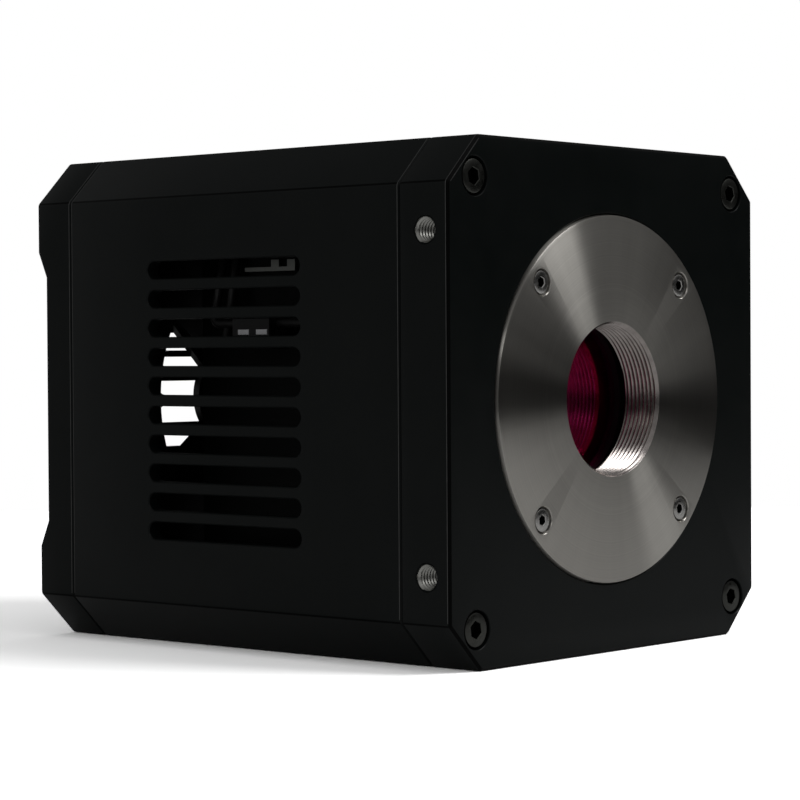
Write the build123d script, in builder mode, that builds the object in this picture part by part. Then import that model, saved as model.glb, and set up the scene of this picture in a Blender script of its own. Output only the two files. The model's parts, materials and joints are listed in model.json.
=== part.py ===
from build123d import *

import os
from math import hypot, sqrt

# Cooled astronomy camera, in millimetres.
# Origin: centre of the lens mount flange's front face, on the optical axis.
# -Y looks out of the lens mount, +Y runs back to the fan, +Z is up, +X is to the right seen from the front.

# ---- driving dimensions ----
body_size = 84.0            # square body, across the flats
corner_cut = 7.6            # leg of the 45 degree corner chamfers
edge_radius = 1.8           # rounding where a chamfer meets a side
wall = 2.5                  # casing and rear wall thickness
flange_proud = 0.5          # lens mount flange stands out of the housing
housing_length = 10.0
casing_length = 76.2
cover_length = 8.8
pad_height = 2.5            # corner pads stand above the rear recess
face_bevel = 0.45
seam_bevel = 0.3

corner_screw = 35.4         # front and rear screws, from the axis in X and Z
post_cut = 14.1             # inside chamfer that leaves the corner posts

flange_radius = 30.5
flange_thickness = 5.0
spigot_radius = 17.0
spigot_length = 2.2
thread_bore_radius = 12.3   # minor radius of the 1 inch by 32 thread
flange_screw = 19.1         # flange screws, from the axis in X and Z
pocket_gap = 0.25

insert_y = 5.2              # side thread inserts, centre line behind the mount face
insert_spacing = 54.0
insert_radius = 2.25
insert_bore_radius = 1.65
insert_length = 7.5

vent_count = 10
vent_pitch = 4.92
vent_height = 3.0
vent_length = 35.5
vent_centre_y = 49.65

grille_radius = 27.0
grille_pitch = 4.42
grille_height = 3.25
grille_offset = -0.93
grille_count = 10

window_radius = 15.0
window_front = 10.0
window_thickness = 2.0
sensor_plane = 17.5         # 17.526 mm focal distance of the mount, rounded

sink_width = 60.0
sink_height = 55.0
sink_front = 28.5
sink_base = 5.0
fin_count = 17
fin_thickness = 1.0
fin_end = 66.2
sink_screw_x = 25.5
sink_screw_z = 23.5

fan_size = 60.0
fan_front = 78.5
fan_thickness = 12.0
fan_bore_radius = 28.3
fan_screw = 25.0
hub_radius = 8.5
blade_count = 4
blade_turn = 46.0           # first blade at rest, in degrees from +X
blade_tip_radius = 27.6
shaft_radius = 1.0
running_clearance = 0.03

board_bottom = 30.4         # main circuit board, above the heat sink
board_thickness = 1.6

# ---- derived positions along the axis ----
half_body = body_size / 2
housing_front = flange_proud
casing_front = housing_front + housing_length
cover_front = casing_front + casing_length
pad_face = cover_front + cover_length
recess_face = pad_face - pad_height
cover_wall_front = recess_face - wall
sink_base_rear = sink_front + sink_base
fan_rear = fan_front + fan_thickness
board_top = board_bottom + board_thickness
ceiling = half_body - wall


def across(y):
    """Plane across the optical axis that faces the front: local x is +X, local y is +Z."""
    return Plane.XZ.offset(-y)


def facing_rear(y):
    """Plane across the optical axis that faces the rear: local x is +X, local y is -Z."""
    return Plane(origin=(0, y, 0), x_dir=(1, 0, 0), z_dir=(0, 1, 0))


left_side = Plane(origin=(-half_body, insert_y, 0), x_dir=(0, -1, 0), z_dir=(-1, 0, 0))
right_side = Plane(origin=(half_body, insert_y, 0), x_dir=(0, 1, 0), z_dir=(1, 0, 0))


def socket_screw(head_radius, head_height, shank_radius, shank_length, key_width):
    """Socket head cap screw along Z, its head on top of the XY plane."""
    socket_depth = head_height / 2
    with BuildPart() as screw:
        Cylinder(head_radius, head_height, align=(Align.CENTER, Align.CENTER, Align.MIN))
        chamfer(screw.faces().sort_by(Axis.Z)[-1].edges(), 0.2)
        Cylinder(shank_radius, shank_length, align=(Align.CENTER, Align.CENTER, Align.MAX))
        with BuildSketch(Plane.XY.offset(head_height)):
            RegularPolygon(key_width / 2, 6, major_radius=False)
        extrude(amount=-socket_depth, mode=Mode.SUBTRACT)
    return screw.part


# ---- outlines shared by the three shells ----
with BuildSketch() as body_outline:
    Rectangle(body_size, body_size)
    chamfer(body_outline.vertices(), corner_cut)
    fillet(body_outline.vertices(), edge_radius)

with BuildSketch() as cavity_outline:
    Rectangle(body_size - 2 * wall, body_size - 2 * wall)
    chamfer(cavity_outline.vertices(), post_cut)
    fillet(cavity_outline.vertices(), edge_radius)

# ---- lens mount flange: turned disc with a spigot, threaded bore and screw holes ----
flange_head_depth = 2.2
flange_ring_radius = 21.5
seal_groove_width = 2.0
seal_groove_depth = 1.5
seal_section = 0.75

with BuildPart() as lens_mount_flange:
    with BuildSketch(across(0)):
        Circle(flange_radius)
    extrude(amount=-flange_thickness)
    chamfer(lens_mount_flange.faces().sort_by(Axis.Y)[0].edges(), 0.4)
    with BuildSketch(across(flange_thickness)):
        Circle(spigot_radius)
    extrude(amount=-spigot_length)
    with BuildSketch(across(0)):
        Circle(thread_bore_radius)
    extrude(amount=-(flange_thickness + spigot_length), mode=Mode.SUBTRACT)
    with BuildSketch(across(flange_thickness)):
        Circle(flange_ring_radius + seal_groove_width / 2)
        Circle(flange_ring_radius - seal_groove_width / 2, mode=Mode.SUBTRACT)
    extrude(amount=seal_groove_depth, mode=Mode.SUBTRACT)
    with Locations(across(0)):
        with GridLocations(2 * flange_screw, 2 * flange_screw, 2, 2):
            CounterBoreHole(radius=1.2, counter_bore_radius=2.2, counter_bore_depth=flange_head_depth)

flange_screw_shape = socket_screw(1.9, 2.0, 0.98, 6.6, 1.5)
with BuildPart() as flange_screws:
    with Locations(across(flange_head_depth)):
        with GridLocations(2 * flange_screw, 2 * flange_screw, 2, 2):
            add(flange_screw_shape)

with BuildPart() as flange_o_ring:
    with Locations(across(flange_thickness - seal_section)):
        Torus(flange_ring_radius, seal_section)

# ---- front housing: thick plate that takes the flange, the side inserts and the corner screws ----
corner_head_depth = 3.2
corner_hole_radius = 1.65
corner_head_hole = 3.15
chamber_ring_radius = 21.0

with BuildPart() as front_housing:
    with BuildSketch(across(housing_front)):
        add(body_outline.sketch)
    extrude(amount=-housing_length)
    chamfer(front_housing.faces().sort_by(Axis.Y)[0].edges(), face_bevel)
    chamfer(front_housing.faces().sort_by(Axis.Y)[-1].edges(), seam_bevel)
    with BuildSketch(across(housing_front)):
        Circle(flange_radius + pocket_gap)
    extrude(amount=housing_front - flange_thickness, mode=Mode.SUBTRACT)
    with BuildSketch(across(housing_front)):
        Circle(spigot_radius + 0.15)
    extrude(amount=-housing_length, mode=Mode.SUBTRACT)
    with Locations(across(housing_front)):
        with GridLocations(2 * corner_screw, 2 * corner_screw, 2, 2):
            CounterBoreHole(corner_hole_radius, corner_head_hole, corner_head_depth)
    with Locations(across(flange_thickness)):
        with GridLocations(2 * flange_screw, 2 * flange_screw, 2, 2):
            Hole(radius=1.0, depth=4.5)
    with Locations(facing_rear(casing_front)):
        with GridLocations(2 * sink_screw_x, 2 * sink_screw_z, 2, 2):
            Hole(radius=1.5, depth=6.0)
    for side in (left_side, right_side):
        with Locations(side):
            with GridLocations(0, insert_spacing, 1, 2):
                Hole(radius=insert_radius + 0.02, depth=insert_length + 0.6)

corner_screw_shape = socket_screw(2.75, 3.0, 1.48, 17.5, 2.5)
with BuildPart() as front_screws:
    with Locations(across(housing_front + corner_head_depth)):
        with GridLocations(2 * corner_screw, 2 * corner_screw, 2, 2):
            add(corner_screw_shape)

with BuildPart() as side_thread_inserts:
    for side in (left_side, right_side):
        with BuildSketch(side.offset(-0.1)):
            with GridLocations(0, insert_spacing, 1, 2):
                Circle(insert_radius)
                Circle(insert_bore_radius, mode=Mode.SUBTRACT)
        extrude(amount=-insert_length)

# ---- main casing: octagonal tube with corner posts and rows of side vents ----
post_hole_depth = 13.5

with BuildPart() as main_casing:
    with BuildSketch(across(casing_front)):
        add(body_outline.sketch)
        add(cavity_outline.sketch, mode=Mode.SUBTRACT)
    extrude(amount=-casing_length)
    casing_ends = main_casing.faces().sort_by(Axis.Y)
    chamfer(casing_ends[0].outer_wire().edges() + casing_ends[-1].outer_wire().edges(), seam_bevel)
    with BuildSketch(Plane.YZ):
        with Locations((vent_centre_y, 0)):
            with GridLocations(0, vent_pitch, 1, vent_count):
                SlotOverall(vent_length, vent_height)
    extrude(amount=body_size, both=True, mode=Mode.SUBTRACT)
    for end in (across(casing_front), facing_rear(cover_front)):
        with Locations(end):
            with GridLocations(2 * corner_screw, 2 * corner_screw, 2, 2):
                Hole(radius=1.5, depth=post_hole_depth)

# ---- rear cover: four corner pads, cross-shaped recess, fan grille and sockets ----
recess_half = 21.5          # flat part of the recess, each side of the axis
pad_edge = 27.0             # where the slope up to the pads ends
above_pads = 1.0
slope_edge = pad_edge + above_pads * (pad_edge - recess_half) / pad_height
fan_head_floor = 92.2

power_x, power_z = -12.0, 35.4
usb_x, usb_z = 3.0, 33.75
led_x, led_z = 14.0, 34.2

with BuildPart() as rear_cover:
    with BuildSketch(across(cover_front)):
        add(body_outline.sketch)
    extrude(amount=-cover_length)
    chamfer(rear_cover.faces().sort_by(Axis.Y)[0].edges(), seam_bevel)
    chamfer(rear_cover.faces().sort_by(Axis.Y)[-1].edges(), face_bevel)
    with BuildSketch(across(cover_front)):
        add(cavity_outline.sketch)
    extrude(amount=cover_front - cover_wall_front, mode=Mode.SUBTRACT)
    with BuildSketch(Plane.YZ):
        Polygon((pad_face + above_pads, slope_edge), (recess_face, recess_half),
                (recess_face, -recess_half), (pad_face + above_pads, -slope_edge), align=None)
    extrude(amount=body_size, both=True, mode=Mode.SUBTRACT)
    with BuildSketch(Plane.XY):
        Polygon((slope_edge, pad_face + above_pads), (recess_half, recess_face),
                (-recess_half, recess_face), (-slope_edge, pad_face + above_pads), align=None)
    extrude(amount=body_size, both=True, mode=Mode.SUBTRACT)
    with BuildSketch(across(cover_wall_front - above_pads)):
        for row in range(grille_count):
            z = grille_offset + (row - (grille_count - 1) / 2) * grille_pitch
            slot_half = sqrt(grille_radius**2 - (abs(z) + grille_height / 2)**2)
            with Locations((0, z)):
                SlotOverall(2 * slot_half, grille_height)
        with Locations((power_x, power_z)):
            Circle(3.5)
        with Locations((usb_x, usb_z)):
            SlotOverall(9.4, 3.7)
        with Locations((led_x, led_z)):
            Circle(1.4)
    extrude(amount=-(wall + 2 * above_pads), mode=Mode.SUBTRACT)
    with Locations(facing_rear(pad_face)):
        with GridLocations(2 * fan_screw, 2 * fan_screw, 2, 2):
            CounterBoreHole(corner_hole_radius, corner_head_hole, pad_face - fan_head_floor)
        with GridLocations(2 * corner_screw, 2 * corner_screw, 2, 2):
            CounterBoreHole(corner_hole_radius, corner_head_hole, corner_head_depth)

with BuildPart() as rear_screws:
    with Locations(facing_rear(pad_face - corner_head_depth)):
        with GridLocations(2 * corner_screw, 2 * corner_screw, 2, 2):
            add(corner_screw_shape)

# ---- sealed sensor chamber with its window ----
chamber_width, chamber_height = 58.0, 54.0
chamber_inside_x, chamber_inside_z = 46.0, 42.0
chamber_rear = 27.5
chamber_wall_rear = 14.5
nose_front = 8.8
window_shelf = window_front + window_thickness + 0.8
window_aperture = 14.2
cable_y = 21.3              # sensor cable leaves the chamber here
cable_width = 12.0
lead_y = 26.5               # cooler leads leave the chamber here
lead_heights = (10.0, 13.0)
lead_radius = 0.8

with BuildPart() as sensor_chamber:
    with BuildSketch(across(nose_front)):
        Circle(spigot_radius - 0.1)
    extrude(amount=nose_front - casing_front)
    with BuildSketch(across(casing_front)):
        RectangleRounded(chamber_width, chamber_height, 3)
    extrude(amount=casing_front - chamber_rear)
    with BuildSketch(across(nose_front)):
        Circle(window_radius + 0.2)
    extrude(amount=nose_front - window_shelf, mode=Mode.SUBTRACT)
    with BuildSketch(across(window_shelf)):
        Circle(window_aperture)
    extrude(amount=window_shelf - chamber_wall_rear, mode=Mode.SUBTRACT)
    with BuildSketch(across(chamber_wall_rear)):
        RectangleRounded(chamber_inside_x, chamber_inside_z, 3)
    extrude(amount=chamber_wall_rear - chamber_rear, mode=Mode.SUBTRACT)
    with BuildSketch(across(casing_front)):
        Circle(chamber_ring_radius + seal_groove_width / 2)
        Circle(chamber_ring_radius - seal_groove_width / 2, mode=Mode.SUBTRACT)
    extrude(amount=-seal_groove_depth, mode=Mode.SUBTRACT)
    with Locations(across(casing_front)):
        with GridLocations(2 * sink_screw_x, 2 * sink_screw_z, 2, 2):
            Hole(radius=1.65)
    with BuildSketch(Plane.XY):
        with Locations((0, cable_y)):
            Rectangle(cable_width + 0.6, 0.7)
    extrude(amount=chamber_height, mode=Mode.SUBTRACT)
    with BuildSketch(Plane.YZ):
        with Locations(*[(lead_y, z) for z in lead_heights]):
            Circle(lead_radius + 0.05)
    extrude(amount=-chamber_width, mode=Mode.SUBTRACT)

with BuildPart() as chamber_o_ring:
    with Locations(across(casing_front + seal_section)):
        Torus(chamber_ring_radius, seal_section)

with BuildPart() as window_retaining_ring:
    with BuildSketch(across(nose_front + 0.1)):
        Circle(window_radius + 0.15)
        Circle(window_radius - 1.3, mode=Mode.SUBTRACT)
        with PolarLocations(window_radius - 0.2, 2):
            Rectangle(1.4, 1.2, mode=Mode.SUBTRACT)
    extrude(amount=nose_front + 0.1 - window_front)

with BuildPart() as optical_window:
    with BuildSketch(across(window_front)):
        Circle(window_radius)
    extrude(amount=-window_thickness)
    chamfer(optical_window.edges(), 0.15)

with BuildPart() as window_o_ring:
    with BuildSketch(across(window_front + window_thickness)):
        Circle(window_radius)
        Circle(window_aperture, mode=Mode.SUBTRACT)
    extrude(amount=window_front + window_thickness - window_shelf)

# ---- image sensor, its board and the cold plate behind it ----
package_width, package_height = 27.0, 21.0
package_front = sensor_plane - 1.0
package_rear = sensor_plane + 1.5
sensor_board_rear = package_rear + 1.6
cold_plate_front = sensor_board_rear + 0.4
cold_plate_rear = 24.5
sensor_screw_x, sensor_screw_z = 16.0, 13.5
probe_place = (-6.0, 22.9)  # temperature probe, in a blind hole from below
probe_top = -10.0
probe_radius = 0.85

with BuildPart() as image_sensor:
    with BuildSketch(across(package_front)):
        Rectangle(package_width, package_height)
    extrude(amount=package_front - package_rear)
    with BuildSketch(across(package_front)):
        Rectangle(package_width - 4, package_height - 4)
    extrude(amount=package_front - sensor_plane, mode=Mode.SUBTRACT)

with BuildPart() as sensor_cover_glass:
    with BuildSketch(across(package_front - 0.7)):
        Rectangle(package_width - 2, package_height - 2)
    extrude(amount=-0.7)

with BuildPart() as sensor_board:
    with BuildSketch(across(package_rear)):
        Rectangle(42, 38)
        Rectangle(16, 12, mode=Mode.SUBTRACT)
        with GridLocations(2 * sensor_screw_x, 2 * sensor_screw_z, 2, 2):
            Circle(1.1, mode=Mode.SUBTRACT)
    extrude(amount=package_rear - sensor_board_rear)

with BuildPart() as cold_plate:
    with BuildSketch(across(package_rear)):
        Rectangle(15.4, 11.4)
    extrude(amount=package_rear - cold_plate_front)
    with BuildSketch(across(cold_plate_front)):
        Rectangle(37, 32)
    extrude(amount=cold_plate_front - cold_plate_rear)
    with Locations(across(cold_plate_front)):
        with GridLocations(2 * sensor_screw_x, 2 * sensor_screw_z, 2, 2):
            Hole(radius=1.0, depth=2.8)
    with BuildSketch(Plane.XY.offset(probe_top)):
        with Locations(probe_place):
            Circle(probe_radius + 0.05)
    extrude(amount=-6, mode=Mode.SUBTRACT)

with BuildPart() as temperature_probe:
    with BuildSketch(Plane.XY.offset(probe_top)):
        with Locations(probe_place):
            Circle(probe_radius)
    extrude(amount=-7)

with BuildPart() as sensor_spacers:
    with BuildSketch(across(sensor_board_rear)):
        with GridLocations(2 * sensor_screw_x, 2 * sensor_screw_z, 2, 2):
            Circle(2.0)
            Circle(1.05, mode=Mode.SUBTRACT)
    extrude(amount=sensor_board_rear - cold_plate_front)

sensor_screw_shape = socket_screw(1.9, 1.6, 0.98, 4.6, 1.5)
with BuildPart() as sensor_screws:
    with Locations(across(package_rear)):
        with GridLocations(2 * sensor_screw_x, 2 * sensor_screw_z, 2, 2):
            add(sensor_screw_shape)

# ---- thermoelectric cooler: two ceramic plates with rows of pellets between them ----
cooler_size = 30.0
ceramic = 0.8
pellet_rows = 8

with BuildPart() as thermoelectric_cooler:
    for y in (cold_plate_rear, sink_front - ceramic):
        with BuildSketch(across(y)):
            Rectangle(cooler_size, cooler_size)
        extrude(amount=-ceramic)
    with BuildSketch(across(cold_plate_rear + ceramic)):
        with GridLocations(3.5, 3.5, pellet_rows, pellet_rows):
            Rectangle(2.2, 2.2)
    extrude(amount=cold_plate_rear - sink_front + 2 * ceramic)

with BuildPart() as insulation_foam:
    with BuildSketch(across(cold_plate_rear + 0.2)):
        Rectangle(44, 40)
        Rectangle(cooler_size + 1, cooler_size + 1, mode=Mode.SUBTRACT)
    extrude(amount=-3.4)
    with BuildSketch(Plane.YZ):
        with Locations(*[(lead_y, z) for z in lead_heights]):
            Circle(lead_radius + 0.05)
    extrude(amount=-chamber_width, mode=Mode.SUBTRACT)

with BuildPart() as chamber_gasket:
    with BuildSketch(across(chamber_rear)):
        RectangleRounded(chamber_width, chamber_height, 3)
        RectangleRounded(chamber_inside_x, chamber_inside_z, 3, mode=Mode.SUBTRACT)
        with GridLocations(2 * sink_screw_x, 2 * sink_screw_z, 2, 2):
            Circle(1.65, mode=Mode.SUBTRACT)
    extrude(amount=chamber_rear - sink_front)

with BuildPart() as desiccant_tube:
    with BuildSketch(Plane.YZ.offset(-11)):
        with Locations((16.9, -17.9)):
            Circle(2.0)
    extrude(amount=22)
    fillet(desiccant_tube.edges(), 0.6)

# ---- finned heat sink, clamped to the chamber through insulating bushes ----
bush_radius = 2.4
driver_clearance = 4.3      # fins are cut away around each clamp screw
fin_pitch = (sink_width - fin_thickness) / (fin_count - 1)

with BuildPart() as heat_sink:
    with BuildSketch(across(sink_front)):
        Rectangle(sink_width, sink_height)
    extrude(amount=-sink_base)
    with BuildSketch(across(sink_base_rear)):
        with GridLocations(fin_pitch, 0, fin_count, 1):
            Rectangle(fin_thickness, sink_height)
        with GridLocations(2 * sink_screw_x, 2 * sink_screw_z, 2, 2):
            Circle(driver_clearance, mode=Mode.SUBTRACT)
    extrude(amount=sink_base_rear - fin_end)
    with Locations(facing_rear(sink_base_rear)):
        with GridLocations(2 * sink_screw_x, 2 * sink_screw_z, 2, 2):
            Hole(radius=bush_radius + 0.05)

with BuildPart() as insulating_bushes:
    with BuildSketch(across(sink_front)):
        with GridLocations(2 * sink_screw_x, 2 * sink_screw_z, 2, 2):
            Circle(bush_radius)
            Circle(1.65, mode=Mode.SUBTRACT)
    extrude(amount=-sink_base)
    with BuildSketch(across(sink_base_rear)):
        with GridLocations(2 * sink_screw_x, 2 * sink_screw_z, 2, 2):
            Circle(3.5)
            Circle(1.65, mode=Mode.SUBTRACT)
    extrude(amount=-1.0)

sink_screw_shape = socket_screw(2.75, 3.0, 1.48, sink_base_rear + 1.0 - 5.2, 2.5)
with BuildPart() as heat_sink_screws:
    with Locations(facing_rear(sink_base_rear + 1.0)):
        with GridLocations(2 * sink_screw_x, 2 * sink_screw_z, 2, 2):
            add(sink_screw_shape)

clip_front, clip_length = 43.2, 11.7
clip_z = 22.15

with BuildPart() as sink_clip:
    with BuildSketch(Plane.YZ.offset(-sink_width / 2)):
        with Locations((clip_front + clip_length / 2, clip_z)):
            Rectangle(clip_length, 0.7)
        with Locations((clip_front + 0.9, clip_z + 0.6), (clip_front + 4.6, clip_z + 0.6)):
            Rectangle(1.8, 1.9)
    extrude(amount=-1.0)

# ---- cooling fan: frame with struts and bearing tube ----
fan_flange = 3.0
strut_front = 89.0
bearing_radius = 2.3
tube_radius = 3.0
tube_front = 81.9
hub_front = 79.2
hub_rear = 87.8
hub_wall = 1.1
hub_boss_radius = 2.0

with BuildPart() as fan_frame:
    with BuildSketch(across(fan_front)):
        RectangleRounded(fan_size, fan_size, 3)
    extrude(amount=-fan_flange)
    with BuildSketch(across(fan_rear - fan_flange)):
        RectangleRounded(fan_size, fan_size, 3)
    extrude(amount=-fan_flange)
    with BuildSketch(across(fan_front)):
        Circle(fan_size / 2 - 0.1)
    extrude(amount=-fan_thickness)
    with BuildSketch(across(fan_front)):
        Circle(fan_bore_radius)
    extrude(amount=-fan_thickness, mode=Mode.SUBTRACT)
    with BuildSketch(across(strut_front)):
        Circle(hub_radius)
        with PolarLocations((hub_radius + fan_size / 2) / 2, 4, start_angle=45):
            Rectangle(fan_size / 2 - hub_radius + 1, 2.4)
    extrude(amount=strut_front - fan_rear)
    with BuildSketch(across(tube_front)):
        Circle(tube_radius)
        Circle(bearing_radius, mode=Mode.SUBTRACT)
    extrude(amount=tube_front - strut_front)
    with Locations(facing_rear(fan_rear)):
        with GridLocations(2 * fan_screw, 2 * fan_screw, 2, 2):
            Hole(radius=2.15)

with BuildPart() as fan_bearings:
    for y in (tube_front + 0.1, strut_front - 2.6):
        with BuildSketch(across(y)):
            Circle(bearing_radius)
            Circle(shaft_radius + running_clearance, mode=Mode.SUBTRACT)
        extrude(amount=-2.5)

# ---- fan motor on the bearing tube ----
stator_front, stator_rear = 82.2, 86.6
core_radius = 3.9
pole_radius = 5.9
pole_neck = 1.6
winding_middle = 4.6

with BuildPart() as fan_stator:
    with BuildSketch(across(stator_front)):
        Circle(core_radius)
        with PolarLocations(winding_middle, 4, start_angle=45):
            Rectangle(2.4, pole_neck)
        Circle(tube_radius + 0.05, mode=Mode.SUBTRACT)
    extrude(amount=stator_front - stator_rear)
    with BuildSketch(across(stator_front)):
        Circle(pole_radius)
        Circle(pole_radius - 0.6, mode=Mode.SUBTRACT)
        with PolarLocations(pole_radius, 4):
            Rectangle(3.4, 2.6, mode=Mode.SUBTRACT)
    extrude(amount=stator_front - stator_rear)

with BuildPart() as fan_windings:
    with BuildSketch(across(stator_front - 0.6)):
        with PolarLocations(winding_middle, 4, start_angle=45):
            Rectangle(0.9, 2.8)
    extrude(amount=stator_front - stator_rear - 1.2)
    with BuildSketch(across(stator_front)):
        with PolarLocations(winding_middle, 4, start_angle=45):
            Rectangle(1.1, pole_neck + 0.1)
    extrude(amount=stator_front - stator_rear, mode=Mode.SUBTRACT)

with BuildPart() as fan_circuit_board:
    with BuildSketch(across(stator_rear + 0.9)):
        Circle(6.4)
        Circle(tube_radius + 0.1, mode=Mode.SUBTRACT)
    extrude(amount=-0.8)

# ---- fan rotor: hub cup with twisted blades, a magnet ring and a shaft ----
blade_middle = 84.0
blade_bow = 1.0
blade_half_thickness = 0.5
blade_sections = ((hub_radius - 1.4, 3.0, 3.6), (blade_tip_radius + 1.0, 6.2, 3.8))

with BuildPart() as fan_blade:
    for radius, run, rise in blade_sections:
        chord_half = hypot(run, rise)
        across_x, across_y = rise / chord_half, -run / chord_half
        outer_bow = blade_bow + blade_half_thickness
        inner_bow = blade_bow - blade_half_thickness
        with BuildSketch(Plane.YZ.offset(radius)):
            with BuildLine():
                ThreePointArc((-run, -rise), (across_x * outer_bow, across_y * outer_bow), (run, rise))
                ThreePointArc((run, rise), (across_x * inner_bow, across_y * inner_bow), (-run, -rise))
            make_face()
    loft()

with BuildPart() as blade_ring:
    with Locations(across(blade_middle)):
        with PolarLocations(0, blade_count, start_angle=blade_turn):
            add(fan_blade.part)
    with Locations(across(blade_middle)):
        Cylinder(blade_tip_radius, fan_thickness, mode=Mode.INTERSECT)

with BuildPart() as fan_rotor:
    with BuildSketch(across(hub_front)):
        Circle(hub_radius)
    extrude(amount=hub_front - hub_rear)
    fillet(fan_rotor.faces().sort_by(Axis.Y)[0].edges(), 0.8)
    add(blade_ring.part)
    with BuildSketch(across(hub_front + hub_wall)):
        Circle(hub_radius - hub_wall)
        Circle(hub_boss_radius, mode=Mode.SUBTRACT)
    extrude(amount=hub_front + hub_wall - hub_rear - 1, mode=Mode.SUBTRACT)
    with BuildSketch(across(tube_front - 0.3)):
        Circle(hub_boss_radius + 0.1)
    extrude(amount=tube_front - 0.3 - hub_rear - 1, mode=Mode.SUBTRACT)
    with BuildSketch(across(hub_front + 0.6)):
        Circle(shaft_radius)
    extrude(amount=-4, mode=Mode.SUBTRACT)

with BuildPart() as fan_magnet:
    with BuildSketch(across(hub_front + hub_wall)):
        Circle(hub_radius - hub_wall)
        Circle(pole_radius + 0.4, mode=Mode.SUBTRACT)
    extrude(amount=-7.0)

with BuildPart() as fan_shaft:
    with BuildSketch(across(hub_front + 0.6)):
        Circle(shaft_radius)
    extrude(amount=hub_front + 0.6 - strut_front + 0.4)

fan_screw_shape = socket_screw(2.75, 2.4, 1.48, 10.0, 2.5)
with BuildPart() as fan_screws:
    with Locations(facing_rear(fan_head_floor)):
        with GridLocations(2 * fan_screw, 2 * fan_screw, 2, 2):
            add(fan_screw_shape)

with BuildPart() as fan_nuts:
    with BuildSketch(across(fan_front + fan_flange)):
        with GridLocations(2 * fan_screw, 2 * fan_screw, 2, 2):
            RegularPolygon(2.75, 6, major_radius=False)
            Circle(1.5, mode=Mode.SUBTRACT)
    extrude(amount=-2.4)

# ---- foam pads that hold the fan's corners off the fins ----
pad_width, pad_height = 9.0, 9.9
pad_x, pad_z = 24.5, 20.55

with BuildPart() as fan_pads:
    with BuildSketch(across(fin_end)):
        with GridLocations(2 * pad_x, 2 * pad_z, 2, 2):
            RectangleRounded(pad_width, pad_height, 1)
    extrude(amount=fin_end - fan_front)

# ---- main circuit board, hung from the casing's top wall ----
board_width = 54.0
board_front, board_rear = 34.0, 88.2
board_screw_x = 21.5
board_screw_rows = (39.0, 68.0)
board_screw_places = [(x, y) for x in (-board_screw_x, board_screw_x) for y in board_screw_rows]

with BuildPart() as main_board:
    with BuildSketch(Plane.XY.offset(board_bottom)):
        with Locations((0, (board_front + board_rear) / 2)):
            RectangleRounded(board_width, board_rear - board_front, 1.5)
        with Locations(*board_screw_places):
            Circle(1.4, mode=Mode.SUBTRACT)
    extrude(amount=board_thickness)

with BuildPart() as board_standoffs:
    with BuildSketch(Plane.XY.offset(board_top)):
        with Locations(*board_screw_places):
            RegularPolygon(2.5, 6, major_radius=False)
            Circle(1.25, mode=Mode.SUBTRACT)
    extrude(amount=ceiling - board_top)

board_screw_shape = socket_screw(2.2, 1.5, 1.23, 6.0, 1.5)
with BuildPart() as board_screws:
    with Locations(Plane(origin=(0, 0, board_bottom), x_dir=(1, 0, 0), z_dir=(0, 0, -1))):
        with Locations(*[(x, -y) for x, y in board_screw_places]):
            add(board_screw_shape)

with BuildPart() as control_chips:
    with BuildSketch(Plane.XY.offset(board_top)):
        with Locations((2, 52)):
            Rectangle(15, 15)
        with Locations((-12, 50), (-12, 63)):
            Rectangle(8, 10)
    extrude(amount=1.5)
    chamfer(control_chips.faces().sort_by(Axis.Z)[-3:].edges(), 0.15)

with BuildPart() as board_capacitors:
    with BuildSketch(Plane.XY.offset(board_top)):
        with Locations((18, 46), (18, 54), (4, 70), (12, 70)):
            Circle(3.1)
    extrude(amount=5.8)
    fillet(board_capacitors.faces().group_by(Axis.Z)[-1].edges(), 0.4)

lead_plug_y, fan_plug_y = 58.0, 74.0
with BuildPart() as board_connectors:
    with BuildSketch(Plane.XY.offset(board_top)):
        with Locations((0, 38.5)):
            Rectangle(16, 4)
        with Locations((-20.5, lead_plug_y), (-20.5, fan_plug_y)):
            Rectangle(5, 6)
    extrude(amount=2.6)

# ---- sockets and status light at the rear of the board ----
with BuildPart() as power_socket:
    with BuildSketch(across(78.4)):
        with Locations((power_x, board_top + 3.4)):
            RectangleRounded(9, 6.8, 0.6)
    extrude(amount=78.4 - cover_wall_front)
    with BuildSketch(across(cover_wall_front)):
        with Locations((power_x, power_z)):
            Circle(3.35)
    extrude(amount=-wall)
    with BuildSketch(across(recess_face)):
        with Locations((power_x, power_z)):
            Circle(2.85)
            Circle(1.0, mode=Mode.SUBTRACT)
    extrude(amount=9.5, mode=Mode.SUBTRACT)

with BuildPart() as usb_socket:
    with BuildSketch(across(84.0)):
        with Locations((usb_x, usb_z)):
            SlotOverall(9.0, 3.3)
    extrude(amount=84.0 - recess_face)
    with BuildSketch(across(recess_face)):
        with Locations((usb_x, usb_z)):
            SlotOverall(8.4, 2.7)
            Rectangle(6.6, 0.8, mode=Mode.SUBTRACT)
    extrude(amount=6.8, mode=Mode.SUBTRACT)

with BuildPart() as status_light:
    with BuildSketch(across(84.0)):
        with Locations((led_x, board_top + 1.7)):
            Rectangle(3, 3.4)
    extrude(amount=-3.0)
    with BuildSketch(across(87.0)):
        with Locations((led_x, led_z)):
            Circle(1.25)
    extrude(amount=87.0 - recess_face)

# ---- flat sensor cable and the fixed leads inside the casing ----
with BuildPart() as sensor_cable:
    with BuildSketch(Plane.YZ) as cable_side:
        with BuildLine() as cable_route:
            FilletPolyline((cable_y, 16.2), (cable_y, 36.6), (35.4, 36.6), (35.4, board_top + 1.5),
                           (36.5, board_top + 1.5), radius=0.9)
        trace(cable_route.line, line_width=0.3)
    extrude(amount=cable_width / 2, both=True)

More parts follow.
